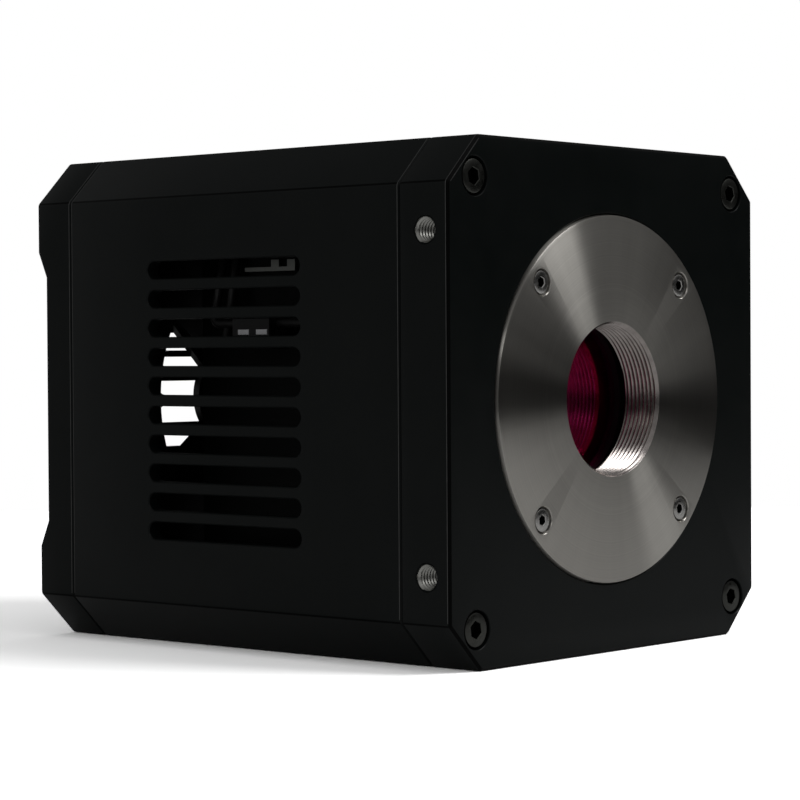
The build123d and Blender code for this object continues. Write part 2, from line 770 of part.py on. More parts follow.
plug_front, plug_rear = 44.0, 52.5
plug_x = -34.0
gutter_x = -30.95           # between the heat sink and the corner post
lead_z = board_top + 1.3    # leads enter their sockets at this height
fan_lead_wires = ((-28.9, fan_plug_y + 1), (-27.7, fan_plug_y - 1))

with BuildPart() as cooler_leads:
    for z in lead_heights:
        with BuildLine():
            inner_route = FilletPolyline((-cooler_size / 2 - 0.1, lead_y, z), (plug_x, lead_y, z),
                                         (plug_x, plug_front, z), radius=4)
        with BuildSketch(Plane(origin=inner_route @ 0, z_dir=inner_route % 0)):
            Circle(lead_radius)
        sweep()
    for z, y in zip(lead_heights, (lead_plug_y - 1.5, lead_plug_y + 1.5)):
        with BuildLine():
            outer_route = FilletPolyline((plug_x, plug_rear, z), (plug_x, y, z), (gutter_x, y, 26),
                                         (gutter_x, y, lead_z), (-23, y, lead_z), radius=1.7)
        with BuildSketch(Plane(origin=outer_route @ 0, z_dir=outer_route % 0)):
            Circle(lead_radius)
        sweep()

with BuildPart() as lead_plug:
    with BuildSketch(across(plug_front)):
        with Locations((plug_x, sum(lead_heights) / 2)):
            Rectangle(5.0, 5.6)
    extrude(amount=plug_front - plug_rear)
    chamfer(lead_plug.edges().filter_by(Axis.Y), 0.6)

with BuildPart() as fan_lead:
    for x, y in fan_lead_wires:
        with BuildLine():
            fan_route = FilletPolyline((x, fan_front, 27), (x, y, 27), (x, y, lead_z), (-23, y, lead_z),
                                       radius=1.2)
        with BuildSketch(Plane(origin=fan_route @ 0, z_dir=fan_route % 0)):
            Circle(0.55)
        sweep()

# ---- one STEP file for each piece ----
pieces = {
    "lens_mount_flange": lens_mount_flange, "flange_screws": flange_screws,
    "flange_o_ring": flange_o_ring, "front_housing": front_housing, "front_screws": front_screws,
    "side_thread_inserts": side_thread_inserts, "main_casing": main_casing,
    "rear_cover": rear_cover, "rear_screws": rear_screws, "sensor_chamber": sensor_chamber,
    "chamber_o_ring": chamber_o_ring, "window_retaining_ring": window_retaining_ring,
    "optical_window": optical_window, "window_o_ring": window_o_ring,
    "image_sensor": image_sensor, "sensor_cover_glass": sensor_cover_glass,
    "sensor_board": sensor_board, "cold_plate": cold_plate,
    "temperature_probe": temperature_probe, "sensor_spacers": sensor_spacers,
    "sensor_screws": sensor_screws, "thermoelectric_cooler": thermoelectric_cooler,
    "insulation_foam": insulation_foam, "chamber_gasket": chamber_gasket,
    "desiccant_tube": desiccant_tube, "heat_sink": heat_sink,
    "insulating_bushes": insulating_bushes, "heat_sink_screws": heat_sink_screws,
    "sink_clip": sink_clip,
    "fan_frame": fan_frame, "fan_bearings": fan_bearings, "fan_stator": fan_stator,
    "fan_windings": fan_windings, "fan_circuit_board": fan_circuit_board,
    "fan_rotor": fan_rotor, "fan_magnet": fan_magnet, "fan_shaft": fan_shaft,
    "fan_screws": fan_screws, "fan_nuts": fan_nuts, "fan_pads": fan_pads,
    "main_board": main_board,
    "board_standoffs": board_standoffs, "board_screws": board_screws,
    "control_chips": control_chips, "board_capacitors": board_capacitors,
    "board_connectors": board_connectors, "power_socket": power_socket,
    "usb_socket": usb_socket, "status_light": status_light, "sensor_cable": sensor_cable,
    "cooler_leads": cooler_leads, "lead_plug": lead_plug, "fan_lead": fan_lead,
}

os.makedirs("parts", exist_ok=True)
for name, piece in pieces.items():
    piece.part.label = name
    export_step(piece.part, f"parts/{name}.step")
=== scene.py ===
import json
from math import atan2, cos, degrees, hypot, pi, radians, sin, sqrt, tan

import bmesh
import bpy
from mathutils import Matrix, Quaternion, Vector


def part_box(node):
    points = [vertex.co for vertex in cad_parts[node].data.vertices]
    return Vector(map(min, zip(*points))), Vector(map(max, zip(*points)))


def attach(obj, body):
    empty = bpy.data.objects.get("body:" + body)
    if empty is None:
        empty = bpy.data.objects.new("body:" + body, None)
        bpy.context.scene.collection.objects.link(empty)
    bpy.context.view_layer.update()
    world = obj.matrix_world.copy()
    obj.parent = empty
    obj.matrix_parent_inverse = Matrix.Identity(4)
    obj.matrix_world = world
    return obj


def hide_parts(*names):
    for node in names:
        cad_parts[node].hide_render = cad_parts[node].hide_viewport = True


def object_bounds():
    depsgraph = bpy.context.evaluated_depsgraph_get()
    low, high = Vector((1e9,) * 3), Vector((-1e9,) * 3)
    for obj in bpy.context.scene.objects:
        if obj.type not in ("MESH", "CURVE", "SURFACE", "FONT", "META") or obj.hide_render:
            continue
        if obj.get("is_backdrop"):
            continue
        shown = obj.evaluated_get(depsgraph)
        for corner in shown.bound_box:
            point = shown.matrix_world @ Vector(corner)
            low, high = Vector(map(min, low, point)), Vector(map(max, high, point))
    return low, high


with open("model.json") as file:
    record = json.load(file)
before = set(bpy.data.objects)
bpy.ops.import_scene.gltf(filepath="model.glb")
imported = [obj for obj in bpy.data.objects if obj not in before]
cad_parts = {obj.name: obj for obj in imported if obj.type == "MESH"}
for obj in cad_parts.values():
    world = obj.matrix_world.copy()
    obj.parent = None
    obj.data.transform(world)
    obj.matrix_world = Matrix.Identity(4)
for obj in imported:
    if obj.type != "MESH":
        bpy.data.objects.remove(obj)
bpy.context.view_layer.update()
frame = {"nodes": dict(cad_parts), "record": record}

MM = 0.001
BODY = "camera_body"


# ---------------------------------------------------------------- sizes from the frame
housing_low, housing_high = (Vector(c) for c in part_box("front_housing"))
cover_low, cover_high = (Vector(c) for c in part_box("rear_cover"))
flange_low, flange_high = (Vector(c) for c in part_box("lens_mount_flange"))

half_body = housing_high.x
housing_front, casing_front = housing_low.y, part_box("main_casing")[0][1]
cover_front, pad_face = cover_low.y, cover_high.y
mount_face, spigot_end = flange_low.y, flange_high.y
flange_radius = flange_high.x

# details of the CAD design, in metres
corner_cut = 7.6 * MM
edge_radius = 1.1 * MM          # rounding of the shells' eight long corners
front_bevel, seam_bevel = 0.45 * MM, 0.3 * MM
strip_width = 0.12 * MM         # narrow strip along each side of a bevel, for a painted edge highlight
wall = 2.5 * MM
post_cut = 14.1 * MM
corner_screw = 35.4 * MM
flange_screw = 19.1 * MM
flange_thickness = 5.0 * MM
spigot_radius = 17.0 * MM
minor_radius = 12.3 * MM
major_radius = 12.7 * MM
thread_pitch = 25.4 / 32 * MM
lead_in_radius = 12.9 * MM
pocket_gap = 0.25 * MM
insert_y = 5.2 * MM
insert_z = 27.0 * MM
insert_radius = 2.25 * MM
vent_count, vent_pitch, vent_height, vent_length = 10, 4.92 * MM, 3.0 * MM, 35.5 * MM
vent_centre_y = 49.65 * MM
recess_face = pad_face - 2.5 * MM
recess_half, pad_edge = 21.5 * MM, 27.0 * MM
grille_radius, grille_pitch, grille_height = 27.0 * MM, 4.42 * MM, 3.25 * MM
grille_offset, grille_count = -0.93 * MM, 10
fan_screw = 25.0 * MM
fan_head_floor = 92.2 * MM
head_hole_radius, screw_hole_radius = 3.15 * MM, 1.65 * MM
corner_head_depth = 3.2 * MM
sink_screw_x, sink_screw_z = 25.5 * MM, 23.5 * MM


# ---------------------------------------------------------------- mesh helpers
def sharpen(bm, smooth_angle):
    """Shades the faces smooth, apart from across edges that turn by more than smooth_angle."""
    limit = radians(smooth_angle)
    for face in bm.faces:
        face.smooth = True
    for edge in bm.edges:
        edge.smooth = len(edge.link_faces) == 2 and edge.calc_face_angle(pi) < limit


def new_object(name, bm, smooth_angle=32):
    """Makes an object from bm, smooth where faces meet at less than smooth_angle degrees."""
    bmesh.ops.remove_doubles(bm, verts=bm.verts, dist=2e-7)
    bmesh.ops.recalc_face_normals(bm, faces=bm.faces)
    sharpen(bm, smooth_angle)
    mesh = bpy.data.meshes.new(name)
    bm.to_mesh(mesh)
    bm.free()
    obj = bpy.data.objects.new(name, mesh)
    bpy.context.scene.collection.objects.link(obj)
    return obj


def add_stack(bm, loops, cap_start=True, cap_end=True):
    """Skins a list of closed loops that have the same number of points."""
    rings = [[bm.verts.new(point) for point in loop] for loop in loops]
    count = len(rings[0])
    for ring, following in zip(rings, rings[1:]):
        for i in range(count):
            j = (i + 1) % count
            bm.faces.new((ring[i], ring[j], following[j], following[i]))
    if cap_start:
        bm.faces.new(rings[0])
    if cap_end:
        bm.faces.new(rings[-1])
    return rings


def arc_corner(outline, centre, radius, start, sweep, steps):
    """Adds the points of an arc to outline."""
    for i in range(steps + 1):
        angle = start + sweep * i / steps
        outline.append((centre[0] + radius * cos(angle), centre[1] + radius * sin(angle)))


def body_outline(half, cut, radius, inset=0.0, steps=5):
    """Square with 45 degree corner cuts whose eight corners are rounded, moved in by inset."""
    half, cut = half - inset, cut - inset * (2 - sqrt(2))
    radius = max(radius - inset, 0.2 * MM)
    reach = radius * tan(pi / 8)
    outline = []
    for quarter in range(4):
        turn = Matrix.Rotation(quarter * pi / 2, 2)
        pair = []
        arc_corner(pair, (half - radius, half - cut - reach), radius, 0, pi / 4, steps)
        arc_corner(pair, (half - cut - reach, half - radius), radius, pi / 4, pi / 4, steps)
        outline += [tuple(turn @ Vector(point)) for point in pair]
    return outline


def stadium(length, height, grow=0.0, steps=12):
    """Round-ended slot outline, its long side along the first axis."""
    radius = height / 2 + grow
    reach = (length - height) / 2
    outline = []
    arc_corner(outline, (reach, 0), radius, -pi / 2, pi, steps)
    arc_corner(outline, (-reach, 0), radius, pi / 2, pi, steps)
    return outline


def at_y(outline, y, x=0.0, z=0.0):
    """Places an outline across the optical axis, centred at (x, z)."""
    return [(x + a, y, z + b) for a, b in outline]


def circle(radius, count=64):
    return [(radius * cos(2 * pi * i / count), radius * sin(2 * pi * i / count)) for i in range(count)]


def add_round_cutter(bm, centre, axis, sections, count=48):
    """Turned cutter: sections are (distance along axis, radius)."""
    axis = Vector(axis)
    side = axis.orthogonal().normalized()
    up = axis.cross(side)
    loops = []
    for distance, radius in sections:
        middle = Vector(centre) + axis * distance
        loops.append([middle + side * a + up * b for a, b in circle(radius, count)])
    add_stack(bm, loops)


def cut(base, cutter_mesh):
    """Takes the solids in cutter_mesh out of base and keeps the result."""
    cutter = new_object("cutter", cutter_mesh)
    modifier = base.modifiers.new("cut", "BOOLEAN")
    modifier.operation = "DIFFERENCE"
    modifier.solver = "EXACT"
    modifier.object = cutter
    apply_modifiers(base)
    bpy.data.objects.remove(cutter)


def apply_modifiers(obj):
    """Replaces the object's mesh with the evaluated one."""
    graph = bpy.context.evaluated_depsgraph_get()
    mesh = bpy.data.meshes.new_from_object(obj.evaluated_get(graph), depsgraph=graph)
    obj.modifiers.clear()
    obj.data = mesh


def resharpen(obj, smooth_angle=32):
    """Cleans a mesh after cuts and marks its sharp edges again."""
    bm = bmesh.new()
    bm.from_mesh(obj.data)
    bmesh.ops.remove_doubles(bm, verts=bm.verts, dist=1e-7)
    bmesh.ops.dissolve_degenerate(bm, edges=bm.edges, dist=1e-7)
    sharpen(bm, smooth_angle)
    bm.to_mesh(obj.data)
    bm.free()


def place(obj, material, slot, *nodes, body=BODY):
    """Gives a finished piece its material and body, and hides the CAD nodes it stands for."""
    obj.data.materials.clear()
    obj.data.materials.append(material)
    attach(obj, body)
    if nodes:
        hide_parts(*nodes)
    return obj


# ---------------------------------------------------------------- material helpers
class Nodes:
    """Short forms for building one node tree."""

    def __init__(self, name):
        self.material = bpy.data.materials.new(name)
        self.material.use_nodes = True
        self.tree = self.material.node_tree
        self.shader = self.tree.nodes["Principled BSDF"]

    def set(self, **values):
        for key, value in values.items():
            self.shader.inputs[key.replace("_", " ")].default_value = value

    def add(self, kind, **values):
        node = self.tree.nodes.new(kind)
        for key, value in values.items():
            setattr(node, key, value)
        return node

    def link(self, source, target):
        self.tree.links.new(source, target)

    def position(self):
        return self.add("ShaderNodeTexCoord").outputs["Object"]

    def noise(self, vector, scale, detail=3.0, roughness=0.5):
        node = self.add("ShaderNodeTexNoise")
        node.inputs["Scale"].default_value = scale
        node.inputs["Detail"].default_value = detail
        node.inputs["Roughness"].default_value = roughness
        self.link(vector, node.inputs["Vector"])
        return node.outputs["Fac"]

    def stretch(self, vector, scale):
        node = self.add("ShaderNodeMapping")
        node.inputs["Scale"].default_value = scale
        self.link(vector, node.inputs["Vector"])
        return node.outputs["Vector"]

    def ramp(self, value, stops):
        node = self.add("ShaderNodeValToRGB")
        elements = node.color_ramp.elements
        while len(elements) < len(stops):
            elements.new(0.5)
        for element, (place_on_ramp, colour) in zip(elements, stops):
            element.position = place_on_ramp
            element.color = (*colour, 1.0)
        self.link(value, node.inputs["Fac"])
        return node.outputs["Color"]

    def range(self, value, low, high, from_low=0.3, from_high=0.7):
        node = self.add("ShaderNodeMapRange")
        node.inputs["From Min"].default_value = from_low
        node.inputs["From Max"].default_value = from_high
        node.inputs["To Min"].default_value = low
        node.inputs["To Max"].default_value = high
        self.link(value, node.inputs["Value"])
        return node.outputs["Result"]

    def math(self, operation, first, second=None):
        node = self.add("ShaderNodeMath", operation=operation)
        for socket, value in zip(node.inputs, (first, second)):
            if value is None:
                continue
            if isinstance(value, (int, float)):
                socket.default_value = value
            else:
                self.link(value, socket)
        return node.outputs["Value"]

    def axis_distance(self):
        """Distance from the optical axis."""
        parts = self.add("ShaderNodeSeparateXYZ")
        self.link(self.position(), parts.inputs["Vector"])
        across = self.math("MULTIPLY", parts.outputs["X"], parts.outputs["X"])
        upward = self.math("MULTIPLY", parts.outputs["Z"], parts.outputs["Z"])
        return self.math("SQRT", self.math("ADD", across, upward))

    def bump(self, height, strength, distance):
        node = self.add("ShaderNodeBump")
        node.inputs["Strength"].default_value = strength
        node.inputs["Distance"].default_value = distance
        self.link(height, node.inputs["Height"])
        self.link(node.outputs["Normal"], self.shader.inputs["Normal"])

    def colour(self, source):
        self.link(source, self.shader.inputs["Base Color"])

    def roughness(self, source):
        self.link(source, self.shader.inputs["Roughness"])


def shaded(base, factor):
    """A lighter or darker version of a colour."""
    return tuple(min(1.0, channel * factor) for channel in base)


def grained(name, base, low, high, grain, relief, metallic=0.0, level=0.5, variation=0.25, blotch=60):
    """Plain material with a fine grain, cloudy colour variation and uneven gloss."""
    n = Nodes(name)
    n.set(Metallic=metallic, Specular_IOR_Level=level)
    clouds = n.noise(n.position(), blotch, 4)
    fine = n.noise(n.position(), grain, 2)
    stops = ((0.3, shaded(base, 1 - variation)), (0.7, shaded(base, 1 + variation)))
    n.colour(n.ramp(clouds, stops))
    n.roughness(n.range(clouds, low, high))
    n.bump(fine, 0.35, relief)
    return n.material


def anodised():
    """Fine-blasted black anodised aluminium: faint grain, soft handling marks."""
    n = Nodes("black_anodised")
    n.set(Metallic=0.0, Specular_IOR_Level=0.15)
    clouds = n.noise(n.position(), 35, 5, 0.6)
    grain = n.noise(n.position(), 5200, 2)
    smears = n.noise(n.stretch(n.position(), (30, 8, 30)), 9, 3)
    n.colour(n.ramp(clouds, ((0.3, (0.0046, 0.0062, 0.0060)), (0.72, (0.0078, 0.0094, 0.0090)))))
    mixed = n.math("ADD", n.math("MULTIPLY", clouds, 0.5), n.math("MULTIPLY", smears, 0.5))
    n.roughness(n.range(mixed, 0.29, 0.36))
    n.bump(grain, 0.5, 0.00002)
    return n.material


def turned_steel():
    """Lathe-faced stainless steel: rings about the optical axis and anisotropic gloss."""
    n = Nodes("turned_steel")
    n.set(Metallic=1.0, Anisotropic=1.0, Anisotropic_Rotation=0.25)
    rings = n.add("ShaderNodeTexNoise", noise_dimensions="1D")
    rings.inputs["Scale"].default_value = 3800
    rings.inputs["Detail"].default_value = 3
    distance = n.axis_distance()
    n.link(distance, rings.inputs["W"])
    broad = n.add("ShaderNodeTexNoise", noise_dimensions="1D")
    broad.inputs["Scale"].default_value = 420
    n.link(distance, broad.inputs["W"])
    clouds = n.noise(n.position(), 90, 3)
    heading = n.add("ShaderNodeVectorMath", operation="NORMALIZE")
    n.link(n.stretch(n.position(), (1, 0, 1)), heading.inputs["Vector"])
    streaks = n.noise(heading.outputs["Vector"], 9, 6, 0.65)
    turned = n.math("ADD", n.math("MULTIPLY", rings.outputs["Fac"], 0.35),
                    n.math("MULTIPLY", broad.outputs["Fac"], 0.15))
    handled = n.math("ADD", n.math("MULTIPLY", clouds, 0.25), n.math("MULTIPLY", streaks, 0.25))
    tone = n.math("ADD", turned, handled)
    n.colour(n.ramp(tone, ((0.35, (0.53, 0.51, 0.475)), (0.65, (0.63, 0.61, 0.565)))))
    n.roughness(n.range(tone, 0.27, 0.33))
    tangent = n.add("ShaderNodeTangent", direction_type="RADIAL", axis="Y")
    n.link(tangent.outputs["Tangent"], n.shader.inputs["Tangent"])
    n.bump(rings.outputs["Fac"], 0.25, 0.000012)
    return n.material


def cut_metal(name, base, low, high, metallic=1.0):
    """Bright machined metal with fine tool marks."""
    n = Nodes(name)
    n.set(Metallic=metallic)
    marks = n.noise(n.stretch(n.position(), (1, 3, 1)), 2600, 2)
    clouds = n.noise(n.position(), 700, 3)
    n.colour(n.ramp(clouds, ((0.3, shaded(base, 0.82)), (0.7, shaded(base, 1.1)))))
    n.roughness(n.range(clouds, low, high))
    n.bump(marks, 0.2, 0.000008)
    return n.material


def coating():
    """Half-mirrored interference coating that reflects magenta and lets the rest through."""
    n = Nodes("window_coating")
    n.set(Metallic=1.0, Alpha=0.6)
    clouds = n.noise(n.position(), 120, 2)
    n.colour(n.ramp(clouds, ((0.3, (0.90, 0.03, 0.30)), (0.7, (0.95, 0.035, 0.32)))))
    n.roughness(n.range(clouds, 0.07, 0.08))
    return n.material


def clear(name, tint, low=0.01, high=0.03):
    """Clear glass with a faint tint."""
    n = Nodes(name)
    n.set(Transmission_Weight=1.0, IOR=1.5)
    clouds = n.noise(n.position(), 200, 2)
    n.colour(n.ramp(clouds, ((0.3, shaded(tint, 0.97)), (0.7, tint))))
    n.roughness(n.range(clouds, low, high))
    return n.material


def circuit_board():
    """Green solder mask over copper tracks."""
    n = Nodes("circuit_board")
    n.set(Metallic=0.0)
    cells = n.add("ShaderNodeTexVoronoi", distance="MANHATTAN")
    cells.inputs["Scale"].default_value = 330
    n.link(n.position(), cells.inputs["Vector"])
    tracks = n.range(cells.outputs["Distance"], 0, 1, 0.35, 0.4)
    n.colour(n.ramp(tracks, ((0.0, (0.003, 0.045, 0.026)), (1.0, (0.008, 0.085, 0.045)))))
    n.roughness(n.range(n.noise(n.position(), 300), 0.25, 0.4))
    n.bump(tracks, 0.4, 0.00003)
    return n.material


# ---------------------------------------------------------------- materials
black_metal = anodised()
steel_face = turned_steel()
# steel colour with a pink tint; the tint is a painted reflection of the magenta window coating
thread_steel = cut_metal("thread_steel", (0.45, 0.41, 0.39), 0.20, 0.26)
screw_steel = cut_metal("screw_steel", (0.60, 0.59, 0.57), 0.2, 0.32)
insert_steel = cut_metal("insert_steel", (0.50, 0.50, 0.47), 0.24, 0.34)
black_oxide = cut_metal("black_oxide", (0.078, 0.080, 0.073), 0.24, 0.36, metallic=0.9)
# painted shade: a darker, less glossy black for the bevel grooves, the screw sockets and facets of the
# shells' long corners
painted_shade_black = grained("painted_shade_black", (0.0019, 0.0022, 0.0021), 0.4, 0.5, 5000, 0.00001, level=0.06)
green_rubber = grained("green_rubber", (0.02, 0.17, 0.14), 0.3, 0.4, 4000, 0.00001, level=0.5)
frame["nodes"]["window_o_ring"].data.materials[0] = green_rubber
# painted highlight: lighter metallic strips beside the bevels stand in for the light line the edges
# catch from above
edge_highlight_metal = cut_metal("painted_highlight_anodised_edge", (0.11, 0.112, 0.11), 0.34, 0.46, metallic=0.7)
light_pipe = grained("light_pipe", (0.55, 0.62, 0.57), 0.3, 0.4, 2500, 0.00002, variation=0.06)
copper = cut_metal("copper", (0.72, 0.40, 0.27), 0.22, 0.36)
brass = cut_metal("brass", (0.75, 0.60, 0.30), 0.22, 0.36)
can_metal = cut_metal("can_metal", (0.68, 0.68, 0.70), 0.2, 0.3)
motor_iron = cut_metal("motor_iron", (0.2, 0.2, 0.21), 0.35, 0.5)
chamber_black = grained("chamber_black", (0.006, 0.006, 0.006), 0.55, 0.7, 5000, 0.00002, level=0.2)
clip_steel = cut_metal("clip_steel", (0.34, 0.35, 0.33), 0.32, 0.5)
sink_black = grained("sink_black", (0.0032, 0.0042, 0.0038), 0.45, 0.6, 4000, 0.00002, level=0.16)
black_plastic = grained("black_plastic", (0.012, 0.012, 0.013), 0.42, 0.55, 3500, 0.00003)
rubber = grained("seal_rubber", (0.012, 0.012, 0.012), 0.6, 0.75, 2500, 0.00003, level=0.3)
foam = grained("foam", (0.03, 0.03, 0.032), 0.8, 0.95, 1500, 0.0001, level=0.2)
ceramic = grained("ceramic", (0.82, 0.81, 0.77), 0.45, 0.6, 3000, 0.00002, variation=0.04)
nylon = grained("nylon", (0.66, 0.65, 0.61), 0.35, 0.5, 2500, 0.00002, variation=0.06)
polyimide = grained("polyimide", (0.36, 0.16, 0.03), 0.25, 0.4, 1500, 0.00002, variation=0.15)
lead_black = grained("lead_insulation", (0.012, 0.012, 0.012), 0.35, 0.5, 2500, 0.00002, variation=0.15)
sensor_glaze = grained("sensor_die", (0.012, 0.075, 0.062), 0.12, 0.2, 6000, 0.000004, level=0.7)
green_board = circuit_board()
glass = clear("clear_glass", (0.88, 0.95, 0.92))
window_glass = clear("window_glass", (0.72, 0.80, 0.76))
magenta_coating = coating()

slot_materials = {
    "turned_steel": steel_face, "bright_screw": screw_steel, "black_screw": black_oxide,
    "bright_insert": insert_steel, "anodised_shell": black_metal, "chamber_black": chamber_black,
    "seal_rubber": rubber, "coated_glass": window_glass, "clear_glass": glass,
    "sensor_die": sensor_glaze, "circuit_board": green_board, "copper": copper, "ceramic": ceramic,
    "foam": foam, "nylon": nylon, "sink_metal": sink_black, "black_plastic": black_plastic,
    "motor_iron": motor_iron, "brass": brass, "capacitor_metal": can_metal,
    "flat_cable": polyimide, "light_pipe": light_pipe, "lead_insulation": lead_black,
}
node_slots = {part["node"]: part["material_slot"] for part in frame["record"]["subparts"]}
for node, obj in frame["nodes"].items():
    obj.data.materials.clear()
    obj.data.materials.append(slot_materials[node_slots[node]])
frame["nodes"]["sink_clip"].data.materials[0] = clip_steel


# ---------------------------------------------------------------- lens mount flange
def flange_body():
    """Disc and spigot, with the helical lens thread skinned as one spiral surface."""
    around, rows = 256, 8
    crest_flat, root_flat = 0.14, 0.10      # shares of the pitch
    flank = 0.5 - root_flat / 2 - crest_flat / 2
    profile = []
    for row in range(rows):
        phase = row / rows
        if phase < crest_flat:
            depth = 0.0
        elif phase < crest_flat + flank:
            depth = (phase - crest_flat) / flank
        elif phase < crest_flat + flank + root_flat:
            depth = 1.0
        else:
            depth = 1.0 - (phase - crest_flat - flank - root_flat) / flank
        profile.append(minor_radius + (major_radius - minor_radius) * min(max(depth, 0.0), 1.0))
    turns = int((spigot_end - mount_face) / thread_pitch) + 3
    bm = bmesh.new()

    def bore_point(step, row):
        angle = 2 * pi * step / around
        y = mount_face + thread_pitch * (row / rows + step / around - 1.5)
        y = min(max(y, mount_face), spigot_end)
        entry = lead_in_radius - (y - mount_face)
        exit_cone = lead_in_radius - (spigot_end - y)
        radius = max(profile[row % rows], entry, exit_cone)
        return (radius * cos(angle), y, -radius * sin(angle))

    columns = [[bm.verts.new(bore_point(step, row)) for row in range(turns * rows)]
               for step in range(around + 1)]
    for left, right in zip(columns, columns[1:]):
        for row in range(turns * rows - 1):
            bm.faces.new((left[row], left[row + 1], right[row + 1], right[row]))
    outline = [(lead_in_radius, mount_face), (flange_radius - 0.45 * MM, mount_face),
               (flange_radius - 0.12 * MM, mount_face + 0.12 * MM),
               (flange_radius, mount_face + 0.45 * MM),
               (flange_radius, mount_face + flange_thickness - 0.2 * MM),
               (flange_radius - 0.2 * MM, mount_face + flange_thickness),
               (spigot_radius, mount_face + flange_thickness), (spigot_radius, spigot_end - 0.3 * MM),
               (spigot_radius - 0.3 * MM, spigot_end), (lead_in_radius, spigot_end)]
    loops = [[(r * cos(2 * pi * i / around), y, -r * sin(2 * pi * i / around)) for i in range(around)]
             for r, y in outline]
    add_stack(bm, loops, cap_start=False, cap_end=False)
    return new_object("lens_mount_flange_turned", bm)


def four_places(x, z):
    """The four mirrored places of (x, z) about the optical axis."""
    return [(sx * x, sz * z) for sx in (-1, 1) for sz in (-1, 1)]


flange = flange_body()
cutters = bmesh.new()
for x, z in four_places(flange_screw, flange_screw):
    add_round_cutter(cutters, (x, 0, z), (0, 1, 0),
                     ((mount_face - 0.3 * MM, 2.6 * MM), (mount_face + 0.15 * MM, 2.2 * MM),
                      (mount_face + 2.2 * MM, 2.2 * MM), (mount_face + 2.2 * MM, 1.2 * MM),
                      (mount_face + 6 * MM, 1.2 * MM)))
cut(flange, cutters)
resharpen(flange)
place(flange, steel_face, "turned_steel", "lens_mount_flange")
flange.data.materials.append(thread_steel)
for face in flange.data.polygons:
    if hypot(face.center.x, face.center.z) < lead_in_radius - 0.02 * MM:
        face.material_index = 1


# ---------------------------------------------------------------- socket head screws
def hexagon_radius(apothem, angle):
    """Distance to a hexagon's side at this angle, from its centre."""
    return apothem / cos((angle + pi / 6) % (pi / 3) - pi / 6)


def add_screw(bm, seat, axis, head_radius, head_height, shank_radius, shank_length, key, pitch, turn):
    """Socket head cap screw: seat is the head's underside, axis points out of the head."""
    around = 48
    axis = Vector(axis)
    side = axis.orthogonal().normalized()
    up = axis.cross(side)
    apothem, top, depth = key / 2, head_height, head_height * 0.52
    edge = head_radius * 0.1
    rings = [(False, 0.02 * apothem, top - depth - 0.35 * apothem), (False, apothem * 0.97, top - depth),
             (True, apothem, top - depth + 0.02 * MM), (True, apothem, top - 0.12 * MM),
             (True, apothem + 0.1 * MM, top), (False, head_radius - edge, top),
             (False, head_radius - edge * 0.3, top - edge * 0.3), (False, head_radius, top - edge),
             (False, head_radius, edge), (False, head_radius - edge * 0.6, 0.0),
             (False, shank_radius + 0.15 * MM, 0.0), (False, shank_radius, -0.15 * MM)]
    groove = shank_radius - 0.55 * pitch
    z = -1.2 * MM
    while z > -shank_length + 1.5 * pitch:
        rings += [(False, shank_radius, z), (False, groove, z - 0.45 * pitch),
                  (False, groove, z - 0.55 * pitch), (False, shank_radius, z - 0.95 * pitch)]
        z -= pitch
    rings += [(False, groove, -shank_length), (False, 0.02 * apothem, -shank_length)]
    loops = []
    for is_hexagon, size, height in rings:
        loop = []
        for i in range(around):
            angle = 2 * pi * i / around
            radius = hexagon_radius(size, angle) if is_hexagon else size
            point = side * (radius * cos(angle + turn)) + up * (radius * sin(angle + turn))
            loop.append(Vector(seat) + point + axis * height)
        loops.append(loop)
    add_stack(bm, loops)


def screw_group(name, node, seats, axis, head, shank, key, pitch, material, slot):
    """One piece of equal screws with painted shade inside their sockets. head and shank are (radius,
    length).
    """
    bm = bmesh.new()
    for index, seat in enumerate(seats):
        add_screw(bm, seat, axis, *head, *shank, key, pitch, 0.4 + 1.1 * index)
    screws = place(new_object(name, bm), material, slot, node)
    # painted shade: the faces inside each socket take the dark material
    screws.data.materials.append(painted_shade_black)
    along = Vector(axis)
    for face in screws.data.polygons:
        for seat in seats:
            offset = face.center - Vector(seat)
            height = offset.dot(along)
            if 0 < height < 0.9 * head[1] and (offset - along * height).length < 0.6 * key:
                face.material_index = 1
    return screws


def seats_at(y, x, z):
    """Four screw seats on the plane at y."""
    return [(a, y, b) for a, b in four_places(x, z)]


toward_front, toward_rear = (0, -1, 0), (0, 1, 0)
m3_head, m3_shank, m3_key, m3_pitch = (2.75 * MM, 3.0 * MM), (1.48 * MM, 17.5 * MM), 2.5 * MM, 0.5 * MM
screw_group("flange_screws_m2", "flange_screws",
            seats_at(mount_face + 2.2 * MM, flange_screw, flange_screw), toward_front,
            (1.9 * MM, 2.0 * MM), (0.98 * MM, 6.6 * MM), 1.5 * MM, 0.4 * MM,
            screw_steel, "bright_screw")
screw_group("front_screws_m3", "front_screws",
            seats_at(housing_front + corner_head_depth, corner_screw, corner_screw),
            toward_front, m3_head, m3_shank, m3_key, m3_pitch, black_oxide, "black_screw")
screw_group("rear_screws_m3", "rear_screws",
            seats_at(pad_face - corner_head_depth, corner_screw, corner_screw), toward_rear,
            m3_head, m3_shank, m3_key, m3_pitch, black_oxide, "black_screw")
screw_group("fan_screws_m3", "fan_screws", seats_at(fan_head_floor, fan_screw, fan_screw), toward_rear,
            (2.75 * MM, 2.4 * MM), (1.48 * MM, 10.0 * MM), m3_key, m3_pitch, black_oxide, "black_screw")


